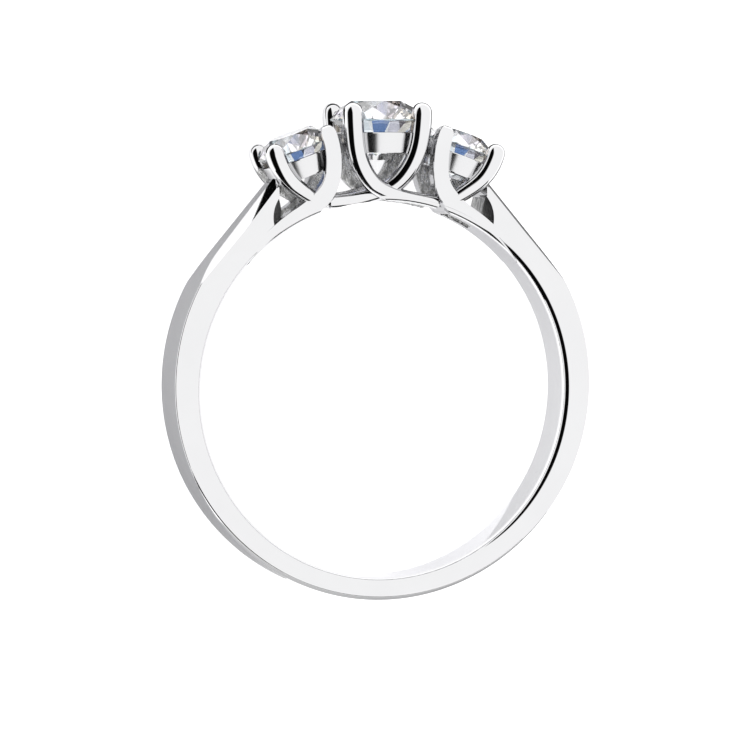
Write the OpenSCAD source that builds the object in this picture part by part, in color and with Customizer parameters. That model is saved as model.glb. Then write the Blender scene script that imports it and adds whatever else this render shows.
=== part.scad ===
// Three-stone diamond engagement ring with crossing prong strands, lying on its side.
// The ring is drawn with its finger axis along Z and its stones towards +Y, then tipped to the way it rests.

/* [Band] */
// Inside diameter of the band, where the finger goes
bore_d = 16.4; // [16.2:0.1:16.6]
// Width of the band along the finger
band_w = 2.56; // [2.4:0.02:2.7]
// Thickness of the band at its foot, opposite the stones
foot_t = 0.98; // [0.9:0.02:1.1]
// Thickness of the band at its sides
side_t = 1.19; // [1.13:0.01:1.25]
// Break on the band's outer edges
edge_break = 0.2; // [0.12:0.02:0.3]

/* [Shoulders] */
// Distance of a shoulder's tip from the middle of the ring
tip_x = 4.74; // [4.68:0.02:4.8]
// Height of a shoulder's tip above the top of the finger hole
tip_h = 1.06; // [0.98:0.02:1.12]
// Width of a shoulder at its tip, along the finger
tip_w = 2.1; // [2:0.02:2.2]
// Width of the flat strip between the two bevels of a shoulder's tip
tip_flat = 0.76; // [0.6:0.02:0.9]
// Depth of the bevels at a shoulder's tip
tip_bevel = 0.32; // [0.24:0.02:0.4]
// Radius of the scoop in each side of a shoulder, at its end wall
scoop_r = 1.5; // [1.46:0.02:1.54]

/* [Stones] */
// Girdle diameter of the centre stone
centre_d = 4.08; // [4:0.02:4.1]
// Height of the centre stone's table above the top of the finger hole
centre_table_h = 4.36; // [4.32:0.02:4.42]
// Girdle diameter of a side stone
side_d = 3.28; // [3.22:0.02:3.34]
// Distance of a side stone's table centre from the middle of the ring
side_x = 3.97; // [3.94:0.01:4]
// Height of a side stone's table centre above the top of the finger hole
side_table_h = 2.92; // [2.88:0.01:2.96]
// Outward lean of a side stone
side_lean = 20; // [19:0.5:21]
// Gap between a stone and the metal that holds it
stone_gap = 0.04; // [0.03:0.01:0.06]

/* [Collets] */
// Height of the centre collet
centre_collet_h = 0.96; // [0.9:0.02:1]
// Height of a side collet
side_collet_h = 0.86; // [0.8:0.02:0.9]
// Wall of each collet
collet_t = 0.36; // [0.32:0.02:0.4]
// Top diameter of the centre collet
centre_collet_d = 3.64; // [3.6:0.02:3.7]
// Top diameter of a side collet
side_collet_d = 3.12; // [3.08:0.02:3.2]
// How much narrower each collet is at its foot
collet_taper = 0.26; // [0.2:0.02:0.32]

/* [Hidden] */
$fn = 96;

bore_r = bore_d / 2;
half_w = band_w / 2;
// The band's outer circle is larger than the hole and sits higher, so the band is thinnest at its foot.
outer_r = bore_r + side_t;
outer_rise = side_t - foot_t;

// A shoulder's top runs straight from the outer circle to the tip, so it leaves the circle as a tangent.
tip = [tip_x, bore_r + tip_h];
tip_reach = norm(tip - [0, outer_rise]);
leave_angle = atan2(tip[1] - outer_rise, tip[0]) - acos(outer_r / tip_reach);
inward = [-cos(leave_angle), -sin(leave_angle)];
bevel_angle = 28;
slim_angle = 47;
// A shoulder's end wall, from the tip down to its toe: rows of [distance beyond the tip, height above the hole's top]
end_wall = [[-0.04, 0.65], [-0.04, 0.25], [-0.13, -0.1], [-0.18, -0.4], [-0.14, -0.7], [0, -0.98], [-0.44, -0.78]];
scoop_x = tip_x - 1.25;
scoop_h = -0.72;
scoop_z = 0.9;
big = 12;
cut = 1;

// Proportions of the round brilliant cut, as shares of the girdle's radius
table_share = 0.57;
star_share = 0.79;
crown_share = 0.375;
girdle_share = 0.05;
pavilion_share = 0.76;
facet_reach = 0.2;
half_main = 22.5;
// Depth of each collet's top below the table of its stone
centre_collet_depth = 1.36;
side_collet_depth = 1.04;

// Strands, from a prong's tip down: rows of [x, height above the top of the hole, z, half width, half depth]
centre_over = [
    [-1.56, 3.86, 1.60, 0.46, 0.50],
    [-1.50, 2.90, 1.55, 0.46, 0.48],
    [-1.34, 2.05, 1.42, 0.44, 0.44],
    [-0.98, 1.28, 1.28, 0.41, 0.40],
    [-0.38, 0.64, 1.16, 0.37, 0.36],
    [0.50, 0.28, 1.05, 0.33, 0.34],
    [1.40, 0.06, 1.02, 0.32, 0.33],
    [2.60, -0.06, 1.04, 0.30, 0.32],
];
centre_under = [
    [1.56, 3.86, 1.60, 0.46, 0.50],
    [1.50, 2.90, 1.55, 0.46, 0.48],
    [1.34, 2.05, 1.40, 0.44, 0.44],
    [0.98, 1.28, 1.20, 0.41, 0.40],
    [0.38, 0.64, 0.96, 0.37, 0.36],
    [-0.50, 0.28, 0.76, 0.33, 0.34],
    [-1.40, 0.06, 0.74, 0.32, 0.33],
    [-2.60, -0.06, 0.82, 0.30, 0.32],
];
inner_prong = [
    [2.66, 2.95, 1.40, 0.37, 0.37],
    [2.48, 2.35, 1.40, 0.37, 0.37],
    [2.41, 1.60, 1.38, 0.37, 0.37],
    [2.48, 0.85, 1.28, 0.38, 0.37],
    [2.80, 0.26, 1.14, 0.39, 0.37],
    [3.42, -0.38, 0.98, 0.41, 0.38],
    [4.35, -1.00, 0.89, 0.40, 0.38],
    [5.45, -1.95, 0.85, 0.38, 0.38],
];
outer_prong = [
    [5.00, 2.12, 1.40, 0.39, 0.38],
    [4.86, 1.72, 1.40, 0.39, 0.38],
    [4.58, 1.22, 1.38, 0.38, 0.37],
    [4.15, 0.76, 1.30, 0.36, 0.36],
    [3.55, 0.34, 1.18, 0.33, 0.34],
    [2.95, -0.02, 1.08, 0.28, 0.30],
];
strand_sides = 8;
strand_steps = 2;
cap_angles = [76, 50, 24];
section_roundness = 0.85;
half_side = 180 / strand_sides;

// Cross ties: one under each side stone from rail to rail, and a stub under the centre collet
tie_angle = 69;
tie_r = 0.3;
stub_r = 0.17;
stub_h = 1.93;
stub_z = -1;
stub_x = [0.05, 1.1];

// Where the ring touches what it lies on: two centre prongs and the foot of the band
prong_reach = centre_over[0][2] + centre_over[0][4] * pow(cos(half_side), section_roundness);
prong_y = bore_r + centre_over[0][1];
foot_y = outer_rise - outer_r + edge_break;
rest_tilt = atan((prong_reach - half_w) / (prong_y - foot_y));
rest_lift = half_w * cos(rest_tilt) - foot_y * sin(rest_tilt);
rest_mid_y = (bore_r + centre_table_h + outer_rise - outer_r) / 2;

// One span of a smooth curve, from row b to row c
function span(a, b, c, d, t) =
    0.5 * (2 * b + (c - a) * t + (2 * a - 5 * b + 4 * c - d) * t * t + (3 * b - a - 3 * c + d) * t * t * t);

// A smooth curve through all rows, with some steps from each row to the next
function smooth(rows, steps) =
    let (last = len(rows) - 1)
    [
        for (i = [0 : last - 1], k = [0 : steps - 1])
            span(rows[max(i - 1, 0)], rows[i], rows[i + 1], rows[min(i + 2, last)], k / steps),
        rows[last],
    ];

function unit(v) = v / norm(v);
function place(row) = [row[0], bore_r + row[1], row[2]];
function soft(u) = sign(u) * pow(abs(u), section_roundness);

// The corners of a strand's section at point p, square to direction t
function section(p, t, wide, deep) =
    let (side = unit(cross(t, [0, 0, 1])), out = cross(side, t))
    [
        for (k = [0 : strand_sides - 1])
            let (a = (2 * k + 1) * half_side)
            p + side * wide * soft(cos(a)) + out * deep * soft(sin(a)),
    ];

// All sections of a strand, with a round cap before the first row
function sections(rows) =
    let (
        path = smooth(rows, strand_steps),
        last = len(path) - 1,
        up = unit(place(path[0]) - place(path[1])),
        top = path[0]
    )
    [
        for (a = cap_angles)
            section(place(top) + up * top[4] * sin(a), -up, top[3] * cos(a), top[4] * cos(a)),
        for (i = [0 : last])
            let (t = unit(place(path[min(i + 1, last)]) - place(path[max(i - 1, 0)])))
            section(place(path[i]), t, path[i][3], path[i][4]),
    ];

// The outline of a round stone's seat, as [radius, height from the table]
function seat(r) = [
    [0, stone_gap],
    [table_share * r + stone_gap / 2, stone_gap],
    [r + stone_gap, stone_gap - crown_share * r],
    [r + stone_gap, -stone_gap - (crown_share + girdle_share) * r],
    [0, -1.5 * stone_gap - (crown_share + girdle_share + pavilion_share) * r],
];

// A closed solid over sections that all have the same number of corners
module skin(rings) {
    n = len(rings[0]);
    m = len(rings);
    polyhedron(
        points = [for (r = rings) each r],
        faces = [
            [for (k = [n - 1 : -1 : 0]) k],
            for (i = [0 : m - 2], k = [0 : n - 1])
                let (a = i * n + k, b = i * n + (k + 1) % n)
                each [[a, b, a + n], [b, b + n, a + n]],
            [for (k = [0 : n - 1]) (m - 1) * n + k],
        ]
    );
}

module strand(rows) {
    skin(sections(rows));
}

module left_and_right() {
    children();
    mirror([1, 0, 0]) children();
}

module front_and_back() {
    children();
    mirror([0, 0, 1]) children();
}

// Tips the ring onto its prongs and the foot of its band
module at_rest() {
    translate([0, -rest_mid_y, rest_lift]) rotate([rest_tilt, 0, 0]) children();
}

// Takes something drawn along +Z to a stone, with the middle of its table at the origin
module at_centre() {
    translate([0, bore_r + centre_table_h, 0]) rotate([-90, 0, 0]) children();
}

module at_side() {
    translate([side_x, bore_r + side_table_h, 0]) rotate([0, 0, -side_lean]) rotate([-90, 0, 0]) children();
}

// The plain part of the band, up to where the shoulders leave it
module band() {
    turn = 180 + 2 * leave_angle;
    translate([0, outer_rise, 0])
        rotate([0, 0, 180 - leave_angle])
            rotate_extrude(angle = turn)
                polygon([
                    [bore_r - cut, -half_w],
                    [outer_r - edge_break, -half_w],
                    [outer_r - 0.3 * edge_break, -half_w + 0.3 * edge_break],
                    [outer_r, -half_w + edge_break],
                    [outer_r, half_w - edge_break],
                    [outer_r - 0.3 * edge_break, half_w - 0.3 * edge_break],
                    [outer_r - edge_break, half_w],
                    [bore_r - cut, half_w],
                ]);
}

// One side of the right shoulder, seen along the finger
module shoulder_side() {
    toe = tip_x + end_wall[len(end_wall) - 1][0];
    polygon([
        [outer_r * cos(leave_angle), outer_rise + outer_r * sin(leave_angle)],
        tip,
        for (row = end_wall) [tip_x + row[0], bore_r + row[1]],
        [toe - cut / 4, sqrt(pow(bore_r - cut, 2) - pow(toe - cut / 4, 2))],
        [(bore_r - cut) * cos(leave_angle), outer_rise + (bore_r - cut) * sin(leave_angle)],
        [(bore_r - cut) * cos(leave_angle - 1), outer_rise + (bore_r - cut) * sin(leave_angle - 1)],
        [(outer_r - cut / 2) * cos(leave_angle - 1), outer_rise + (outer_r - cut / 2) * sin(leave_angle - 1)],
    ]);
}

module shoulder() {
    difference() {
        translate([0, 0, -half_w]) linear_extrude(band_w) shoulder_side();
        front_and_back() translate([scoop_x, bore_r + scoop_h, scoop_z]) cylinder(r = scoop_r, h = cut);
    }
}

// Everything on the outer side of the plane through three points
module beyond(a, b, c) {
    n = unit(cross(b - a, c - a));
    u = unit(b - a);
    v = cross(n, u);
    multmatrix([
        [u[0], v[0], n[0], a[0]],
        [u[1], v[1], n[1], a[1]],
        [u[2], v[2], n[2], a[2]],
        [0, 0, 0, 1],
    ])
        translate([-big / 2, -big / 2, 0]) cube([big, big, big / 4]);
}

// What comes off the near side of the right shoulder: its bevel, and the taper of its side towards the tip
module shoulder_trim() {
    start = [outer_r * cos(bevel_angle), outer_rise + outer_r * sin(bevel_angle), half_w];
    slim = [outer_r * cos(slim_angle), outer_rise + outer_r * sin(slim_angle), half_w];
    top = [tip[0], tip[1], 0];
    down = [inward[0], inward[1], 0];
    z = [0, 0, 1];
    intersection() {
        union() {
            beyond(start, top + z * tip_flat / 2, top + z * half_w + tip_bevel * down);
            beyond(slim, top + z * tip_w / 2, slim + down);
        }
        translate([0, outer_rise + outer_r * sin(bevel_angle), 0]) cube(big);
    }
}

module hoop() {
    difference() {
        union() {
            band();
            left_and_right() shoulder();
        }
        left_and_right() front_and_back() shoulder_trim();
    }
}

// A collet: a short tapered ring of height h under a stone, with its top a given depth below the table
module collet(d, h, depth) {
    foot_r = (d - collet_taper) / 2;
    rotate_extrude()
        polygon([
            [d / 2 - collet_t, -depth],
            [d / 2, -depth],
            [foot_r, -depth - h],
            [foot_r - collet_t, -depth - h],
        ]);
}

module trellis() {
    front_and_back() {
        strand(centre_over);
        strand(centre_under);
        left_and_right() {
            strand(inner_prong);
            strand(outer_prong);
        }
    }
    left_and_right()
        rotate([0, 0, tie_angle]) translate([bore_r + tie_r, 0, -cut]) cylinder(r = tie_r, h = 2 * cut);
    translate([stub_x[0], bore_r + stub_h, stub_z]) {
        rotate([0, 90, 0]) cylinder(r = stub_r, h = stub_x[1] - stub_x[0]);
        sphere(stub_r);
    }
    at_centre() collet(centre_collet_d, centre_collet_h, centre_collet_depth);
    left_and_right() at_side() collet(side_collet_d, side_collet_h, side_collet_depth);
}

// All the metal: it is soldered together, so it is one solid
module ring_mount() {
    color("#d9dadc")
        at_rest()
            difference() {
                union() {
                    hoop();
                    trellis();
                }
                translate([0, 0, -big / 2]) cylinder(r = bore_r, h = big);
                at_centre() rotate_extrude() polygon(seat(centre_d / 2));
                left_and_right() at_side() rotate_extrude() polygon(seat(side_d / 2));
            }
}

// Points at one height round an axis, at every second half-main angle from the first or at each of them
function corners(r, z, first, step) =
    [for (a = [first : step : 359]) [r * cos(a), r * sin(a), z]];

// A round brilliant with girdle radius r, its table facing +Z at height 0
module brilliant(r) {
    girdle_z = -crown_share * r;
    lower_z = girdle_z - girdle_share * r;
    culet_z = lower_z - pavilion_share * r;
    star_z = girdle_z * (star_share * cos(half_main) - table_share) / (1 - table_share);
    reach_z = culet_z + pavilion_share * r * facet_reach * cos(half_main);
    points = [
        each corners(table_share * r, 0, 0, 2 * half_main),
        each corners(star_share * r, star_z, half_main, 2 * half_main),
        each corners(r, girdle_z, 0, half_main),
        each corners(r, lower_z, 0, half_main),
        each corners(facet_reach * r, reach_z, half_main, 2 * half_main),
        [0, 0, culet_z],
    ];
    hull() polyhedron(points, [for (k = [0 : 2 : len(points) - 3]) [k, k + 1, k + 2]]);
}

module centre_diamond() {
    color("#e8ecf4") at_rest() at_centre() brilliant(centre_d / 2);
}

module left_diamond() {
    color("#e8ecf4") at_rest() mirror([1, 0, 0]) at_side() brilliant(side_d / 2);
}

module right_diamond() {
    color("#e8ecf4") at_rest() at_side() brilliant(side_d / 2);
}

ring_mount();
centre_diamond();
left_diamond();
right_diamond();
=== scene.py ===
"""Looks for a three-stone diamond ring in polished white gold that lies on its side."""

import sys

import logging
import math
from collections.abc import Callable, Iterator, Sequence
from contextlib import contextmanager
from dataclasses import dataclass
from enum import Enum
from functools import cached_property
from typing import Any, NamedTuple

import bmesh
import bpy
from mathutils import Matrix, Vector


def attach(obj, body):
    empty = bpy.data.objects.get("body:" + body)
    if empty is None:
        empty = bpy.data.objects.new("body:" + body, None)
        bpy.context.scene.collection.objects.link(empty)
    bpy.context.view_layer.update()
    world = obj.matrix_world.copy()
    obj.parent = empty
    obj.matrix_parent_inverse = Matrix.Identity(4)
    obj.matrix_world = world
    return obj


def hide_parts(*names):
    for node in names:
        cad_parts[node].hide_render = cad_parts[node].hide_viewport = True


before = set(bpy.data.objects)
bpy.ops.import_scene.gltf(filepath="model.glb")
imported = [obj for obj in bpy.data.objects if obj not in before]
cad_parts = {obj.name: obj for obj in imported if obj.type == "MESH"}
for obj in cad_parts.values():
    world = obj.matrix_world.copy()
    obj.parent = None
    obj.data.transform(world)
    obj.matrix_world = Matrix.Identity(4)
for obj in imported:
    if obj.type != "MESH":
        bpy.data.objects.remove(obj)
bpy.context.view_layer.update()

LOG = logging.getLogger("ring")
MM = 0.001
PHOTO_SIDE = 750.0
SENSOR_MM = 36.0
# Two points this close, in millimetres, are one.
MERGE = 1e-4
# A point this close to a line or a circle, in millimetres, lies on it.
NEAR = 0.01
# Steps across a rounded edge, and round a full turn of the band's tools and of the collets and seats.
ROUND_STEPS = 8
FINE_TURN = 360
SEAT_TURN = 128
# The kinds of ray that pass a studio card by, so that only the metal's reflections show it.
UNSEEN = ("camera", "diffuse", "shadow", "transmission")


class Cut(Enum):
    """How one solid changes another."""

    JOIN = "UNION"
    REMOVE = "DIFFERENCE"


class Part(Enum):
    """What a selection in edit mode is made of."""

    VERTS = "VERT"
    EDGES = "EDGE"
    FACES = "FACE"


class SkinAndShade(Enum):
    """How a spot of the metal was left, or that it gets painted shade, as the value of its mask."""

    POLISHED = 0.0
    AS_CAST = 1.0
    # Not a finish: painted shade on the floors of the shoulders' scoops.
    HOLLOW = 2.0


class Station(NamedTuple):
    """One section of a strand: its middle, its two half sizes and how far its long side is turned."""

    x: float
    height: float
    z: float
    wide: float
    deep: float
    turn: float


# Modelling helpers


def only(piece: bpy.types.Object) -> bpy.types.Object:
    """Selects one object alone and makes it the active one.

    Args:
        piece: The object to work on.

    Returns:
        The same object.
    """
    for other in bpy.context.selected_objects:
        other.select_set(False)
    piece.select_set(True)
    bpy.context.view_layer.objects.active = piece
    return piece


def fresh(name: str) -> bpy.types.Object:
    """Names the object that an add operator has just made.

    Args:
        name: The new object's name.

    Returns:
        The new object, selected alone.
    """
    piece = bpy.context.object
    piece.name = name
    piece.data.name = name
    return only(piece)


@contextmanager
def editing(piece: bpy.types.Object, part: Part = Part.VERTS) -> Iterator[None]:
    """Holds edit mode open on one object.

    Args:
        piece: The object to edit.
        part: What selections are made of.
    """
    only(piece)
    bpy.ops.object.mode_set(mode="EDIT")
    bpy.ops.mesh.select_mode(type=part.value)
    yield
    bpy.ops.object.mode_set(mode="OBJECT")


def pick_edges(
    piece: bpy.types.Object, test: Callable[[bmesh.types.BMVert, bmesh.types.BMVert], bool]
) -> None:
    """Selects the edges in edit mode that pass a test on their two ends, and only those.

    Args:
        piece: The object in edit mode.
        test: Takes an edge's two ends and says whether it is selected.
    """
    shell = bmesh.from_edit_mesh(piece.data)
    for vert in shell.verts:
        vert.select_set(False)
    for edge in shell.edges:
        edge.select_set(test(*edge.verts))
    shell.select_flush_mode()
    bmesh.update_edit_mesh(piece.data)


def round_edges(
    piece: bpy.types.Object, offset: float, test: Callable[[Vector, Vector], bool], steps: int = ROUND_STEPS
) -> None:
    """Rounds the edges in edit mode that pass a test on the places of their two ends.

    Args:
        piece: The object in edit mode, with edges as its selections.
        offset: How far the rounding reaches to each side of the edge.
        test: Takes the places of an edge's two ends and says whether it is rounded.
        steps: The number of steps across the rounding.
    """
    pick_edges(piece, lambda a, b: test(a.co, b.co))
    bpy.ops.mesh.bevel(offset=offset, segments=steps, profile=0.5, affect="EDGES")


def face_out(merge: float = 0.0) -> None:
    """Turns the faces of the mesh in edit mode outwards.

    Args:
        merge: How close two points have to be to become one first, or 0 to merge none.
    """
    bpy.ops.mesh.select_all(action="SELECT")
    if merge:
        bpy.ops.mesh.remove_doubles(threshold=merge)
    bpy.ops.mesh.normals_make_consistent(inside=False)


def apply_modifier(piece: bpy.types.Object, kind: str, **settings: Any) -> None:
    """Adds a modifier, sets it and applies it.

    Args:
        piece: The object that takes it.
        kind: The modifier's type.
        **settings: Its settings by name.
    """
    only(piece)
    bpy.ops.object.modifier_add(type=kind)
    modifier = piece.modifiers[-1]
    for key, value in settings.items():
        setattr(modifier, key, value)
    bpy.ops.object.modifier_apply(modifier=modifier.name)


def combine(piece: bpy.types.Object, tool: bpy.types.Object, cut: Cut) -> None:
    """Joins a solid to a piece or takes it away, and removes the tool.

    Args:
        piece: The solid that stays.
        tool: The solid that is used up.
        cut: Whether the tool is joined or taken away.
    """
    apply_modifier(piece, "BOOLEAN", object=tool, operation=cut.value, solver="MANIFOLD")
    bpy.data.objects.remove(tool)


def trace(name: str, points: Sequence[Vector]) -> bpy.types.Object:
    """Draws a chain of edges by extruding one vertex from point to point, and leaves the object in edit mode.

    Args:
        name: The new object's name.
        points: The chain's points.

    Returns:
        The new object, in edit mode with the chain's last vertex selected.
    """
    bpy.ops.mesh.primitive_plane_add(size=MERGE)
    piece = fresh(name)
    bpy.ops.object.mode_set(mode="EDIT")
    bpy.ops.mesh.select_mode(type="VERT")
    bpy.ops.mesh.select_all(action="SELECT")
    bpy.ops.mesh.merge(type="CENTER")
    bpy.ops.transform.translate(value=points[0])
    extend(points)
    return piece


def extend(points: Sequence[Vector]) -> None:
    """Carries a chain on from its selected end, which lies at the first point.

    Args:
        points: The points to go through, from where the chain ends now.
    """
    for start, end in zip(points, points[1:]):
        bpy.ops.mesh.extrude_vertices_move(TRANSFORM_OT_translate={"value": end - start})


def lathe(name: str, outline: Sequence[tuple[float, float]], steps: int) -> bpy.types.Object:
    """Turns an outline round the Z axis into a closed solid.

    Args:
        name: The new object's name.
        outline: Points as (radius, height), from axis to axis or round to the first point again.
        steps: The number of steps in a full turn.

    Returns:
        The new solid, in object mode.
    """
    piece = trace(name, [Vector((r, 0.0, h)) for r, h in outline])
    bpy.ops.mesh.select_all(action="SELECT")
    bpy.ops.mesh.spin(steps=steps, angle=math.tau, center=(0, 0, 0), axis=(0, 0, 1))
    face_out(MERGE)
    bpy.ops.object.mode_set(mode="OBJECT")
    return piece


def place(piece: bpy.types.Object, matrix: Matrix) -> bpy.types.Object:
    """Moves a piece by its mesh, so that its object stays at the origin.

    Args:
        piece: The piece to move.
        matrix: Where it goes.

    Returns:
        The same piece.
    """
    only(piece)
    piece.matrix_world = matrix @ piece.matrix_world
    bpy.ops.object.transform_apply(location=True, rotation=True, scale=True)
    return piece


def place_mirrored(piece: bpy.types.Object, matrix: Matrix) -> bpy.types.Object:
    """Moves a piece by a matrix that may mirror it, and turns its faces outwards again.

    Args:
        piece: The piece to move.
        matrix: Where it goes.

    Returns:
        The same piece.
    """
    place(piece, matrix)
    with editing(piece):
        face_out()
    return piece


def frame_at(middle: Vector, side: Vector, out: Vector, along: Vector) -> Matrix:
    """A matrix that takes X, Y and Z to three directions and the origin to a point."""
    return Matrix.Translation(middle) @ Matrix((side, out, along)).transposed().to_4x4()


def to_corner(right: bool, near: bool) -> Matrix:
    """A matrix that mirrors what stands at the right and near +Z to the left or the far side."""
    return Matrix.Diagonal((1.0 if right else -1.0, 1.0, 1.0 if near else -1.0, 1.0))


def clamp(share: float) -> float:
    """A share held between 0 and 1."""
    return min(max(share, 0.0), 1.0)


# The ring's own frame


@dataclass(frozen=True)
class RingPlan:
    """The ring's driving sizes in millimetres, in its own frame: finger along Z, stones towards +Y.

    The heights of tables and prongs count from the edge of the finger hole.
    """

    bore_r: float = 8.2
    half_w: float = 1.28
    side_t: float = 1.19
    foot_t: float = 0.98
    edge_break: float = 0.2
    centre_r: float = 2.04
    table_h: float = 4.36
    prong_h: float = 3.86
    prong_reach: float = 2.0675
    side_r: float = 1.64
    side_x: float = 3.97
    side_h: float = 2.92
    side_lean: float = 20.0

    @property
    def outer_r(self) -> float:
        """Radius of the band's outer circle."""
        return self.bore_r + self.side_t

    @property
    def outer_rise(self) -> float:
        """How far the outer circle sits above the hole's middle."""
        return self.side_t - self.foot_t

    def rest(self) -> Matrix:
        """The matrix that lays the ring on the surface and turns millimetres to metres."""
        foot_y = self.outer_rise - self.outer_r + self.edge_break
        tilt = math.atan2(self.prong_reach - self.half_w, self.bore_r + self.prong_h - foot_y)
        lift = self.half_w * math.cos(tilt) - foot_y * math.sin(tilt)
        middle = (self.bore_r + self.table_h + self.outer_rise - self.outer_r) / 2
        down = Matrix.Translation((0, -middle, lift)) @ Matrix.Rotation(tilt, 4, "X")
        return Matrix.Scale(MM, 4) @ down

    def centre_stone(self) -> Matrix:
        """The frame of the centre stone: its table's middle, +Z out of the table."""
        return Matrix.Translation((0, self.bore_r + self.table_h, 0)) @ Matrix.Rotation(-math.pi / 2, 4, "X")

    def side_stone(self, right: bool) -> Matrix:
        """The frame of a side stone.

        Args:
            right: Whether it is the right one.

        Returns:
            Its table's middle, with +Z out of the table.
        """
        sign = 1.0 if right else -1.0
        lean = Matrix.Rotation(-sign * math.radians(self.side_lean), 4, "Z")
        spot = Matrix.Translation((sign * self.side_x, self.bore_r + self.side_h, 0))
        return spot @ lean @ Matrix.Rotation(-math.pi / 2, 4, "X")

    def stones(self) -> list[tuple[float, Matrix]]:
        """The girdle radius and the frame of the centre, the right and the left stone."""
        sides = [(self.side_r, self.side_stone(right)) for right in (True, False)]
        return [(self.centre_r, self.centre_stone()), *sides]


PLAN = RingPlan()


# Finishes


def linear(hex_colour: str) -> tuple[float, float, float, float]:
    """Turns an sRGB hex colour to linear light, by the standard's own curve.

    Args:
        hex_colour: Six hex digits after a hash sign.

    Returns:
        Red, green, blue and full alpha.
    """
    parts = [int(hex_colour[i : i + 2], 16) / 255 for i in (1, 3, 5)]
    made = [p / 12.92 if p <= 0.04045 else ((p + 0.055) / 1.055) ** 2.4 for p in parts]
    return (made[0], made[1], made[2], 1.0)


class Links(NamedTuple):
    """A material's node tree and the nodes that every finish starts from."""

    tree: bpy.types.NodeTree
    shader: bpy.types.Node
    coords: bpy.types.Node


def feed(tree: bpy.types.NodeTree, target: bpy.types.Node, inputs: dict[Any, Any]) -> None:
    """Sets or links a node's inputs.

    Args:
        tree: The tree that holds it.
        target: The node.
        inputs: Its inputs by name or number: a value, or a socket to link from.
    """
    for key, value in inputs.items():
        if isinstance(value, bpy.types.NodeSocket):
            tree.links.new(value, target.inputs[key])
        else:
            target.inputs[key].default_value = value


def node(
    tree: bpy.types.NodeTree, kind: str, inputs: dict[Any, Any] | None = None, **settings: Any
) -> bpy.types.Node:
    """Adds a node with its settings, its values and its links.

    Args:
        tree: The tree that takes it.
        kind: The node's type name.
        inputs: Its inputs by name or number: a value, or a socket to link from.
        **settings: Its own settings by name.

    Returns:
        The new node.
    """
    made = tree.nodes.new(kind)
    for key, value in settings.items():
        setattr(made, key, value)
    feed(tree, made, inputs or {})
    return made


def start_material(name: str) -> Links:
    """Makes a material with one Principled shader and object coordinates.

    Args:
        name: The material's name.

    Returns:
        Its tree, shader and coordinates.
    """
    material = bpy.data.materials.new(name)
    material.use_nodes = True
    tree = material.node_tree
    return Links(tree, tree.nodes["Principled BSDF"], node(tree, "ShaderNodeTexCoord"))


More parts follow.
